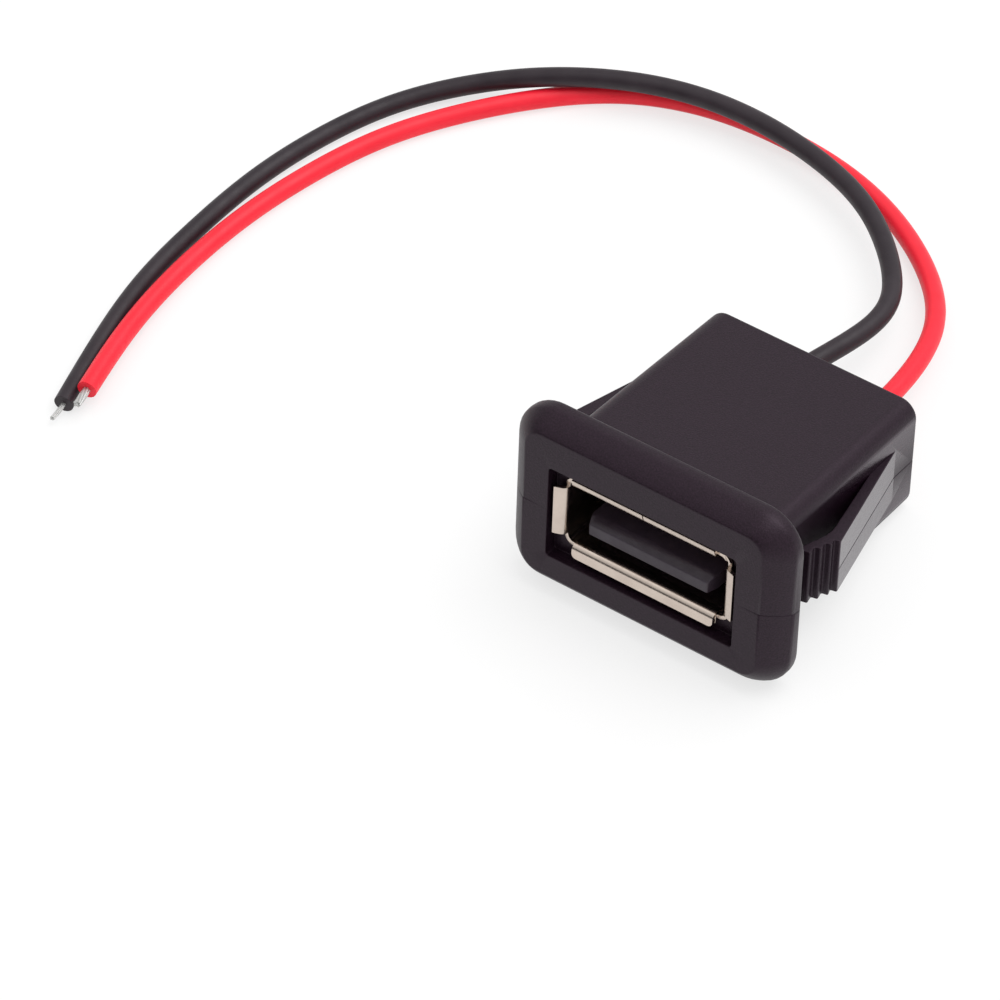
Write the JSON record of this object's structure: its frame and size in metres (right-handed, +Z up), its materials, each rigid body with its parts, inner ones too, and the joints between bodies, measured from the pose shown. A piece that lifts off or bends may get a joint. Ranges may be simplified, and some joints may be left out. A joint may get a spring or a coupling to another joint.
{
  "type": "usb-a socket cable",
  "caption": "Panel-mount USB-A socket with a bevelled flange, side snap wings and a flared metal mouth, on a red and a black wire with tinned ends.",
  "frame": {"origin": "on the surface that the part lies on, under the middle of the socket without its wires", "axes": "+Z up from the surface, -Y the way the mouth faces, +X to the right seen from the front"},
  "size_m": [0.0587, 0.0493, 0.014],
  "materials": {
    "housing_plastic": "fine matte moulding, a little glossier on the walls",
    "nickel_sheet": "bright nickel plate on stamped steel",
    "tongue_plastic": "semi-matte moulded",
    "contact_plate": "thin gold plate",
    "solder": "satin tin",
    "red_insulation": "semi-gloss extruded PVC",
    "black_insulation": "semi-gloss extruded PVC"
  },
  "bodies": {
    "root": {"housing": "housing_plastic", "socket_shell": "nickel_sheet", "insulator": "tongue_plastic", "contact_vbus": "contact_plate", "contact_data_minus": "contact_plate", "contact_data_plus": "contact_plate", "contact_ground": "contact_plate", "vbus_solder_joint": "solder", "ground_solder_joint": "solder", "red_wire": "red_insulation", "black_wire": "black_insulation", "red_wire_tip": "solder", "black_wire_tip": "solder"}
  },
  "joints": []
}
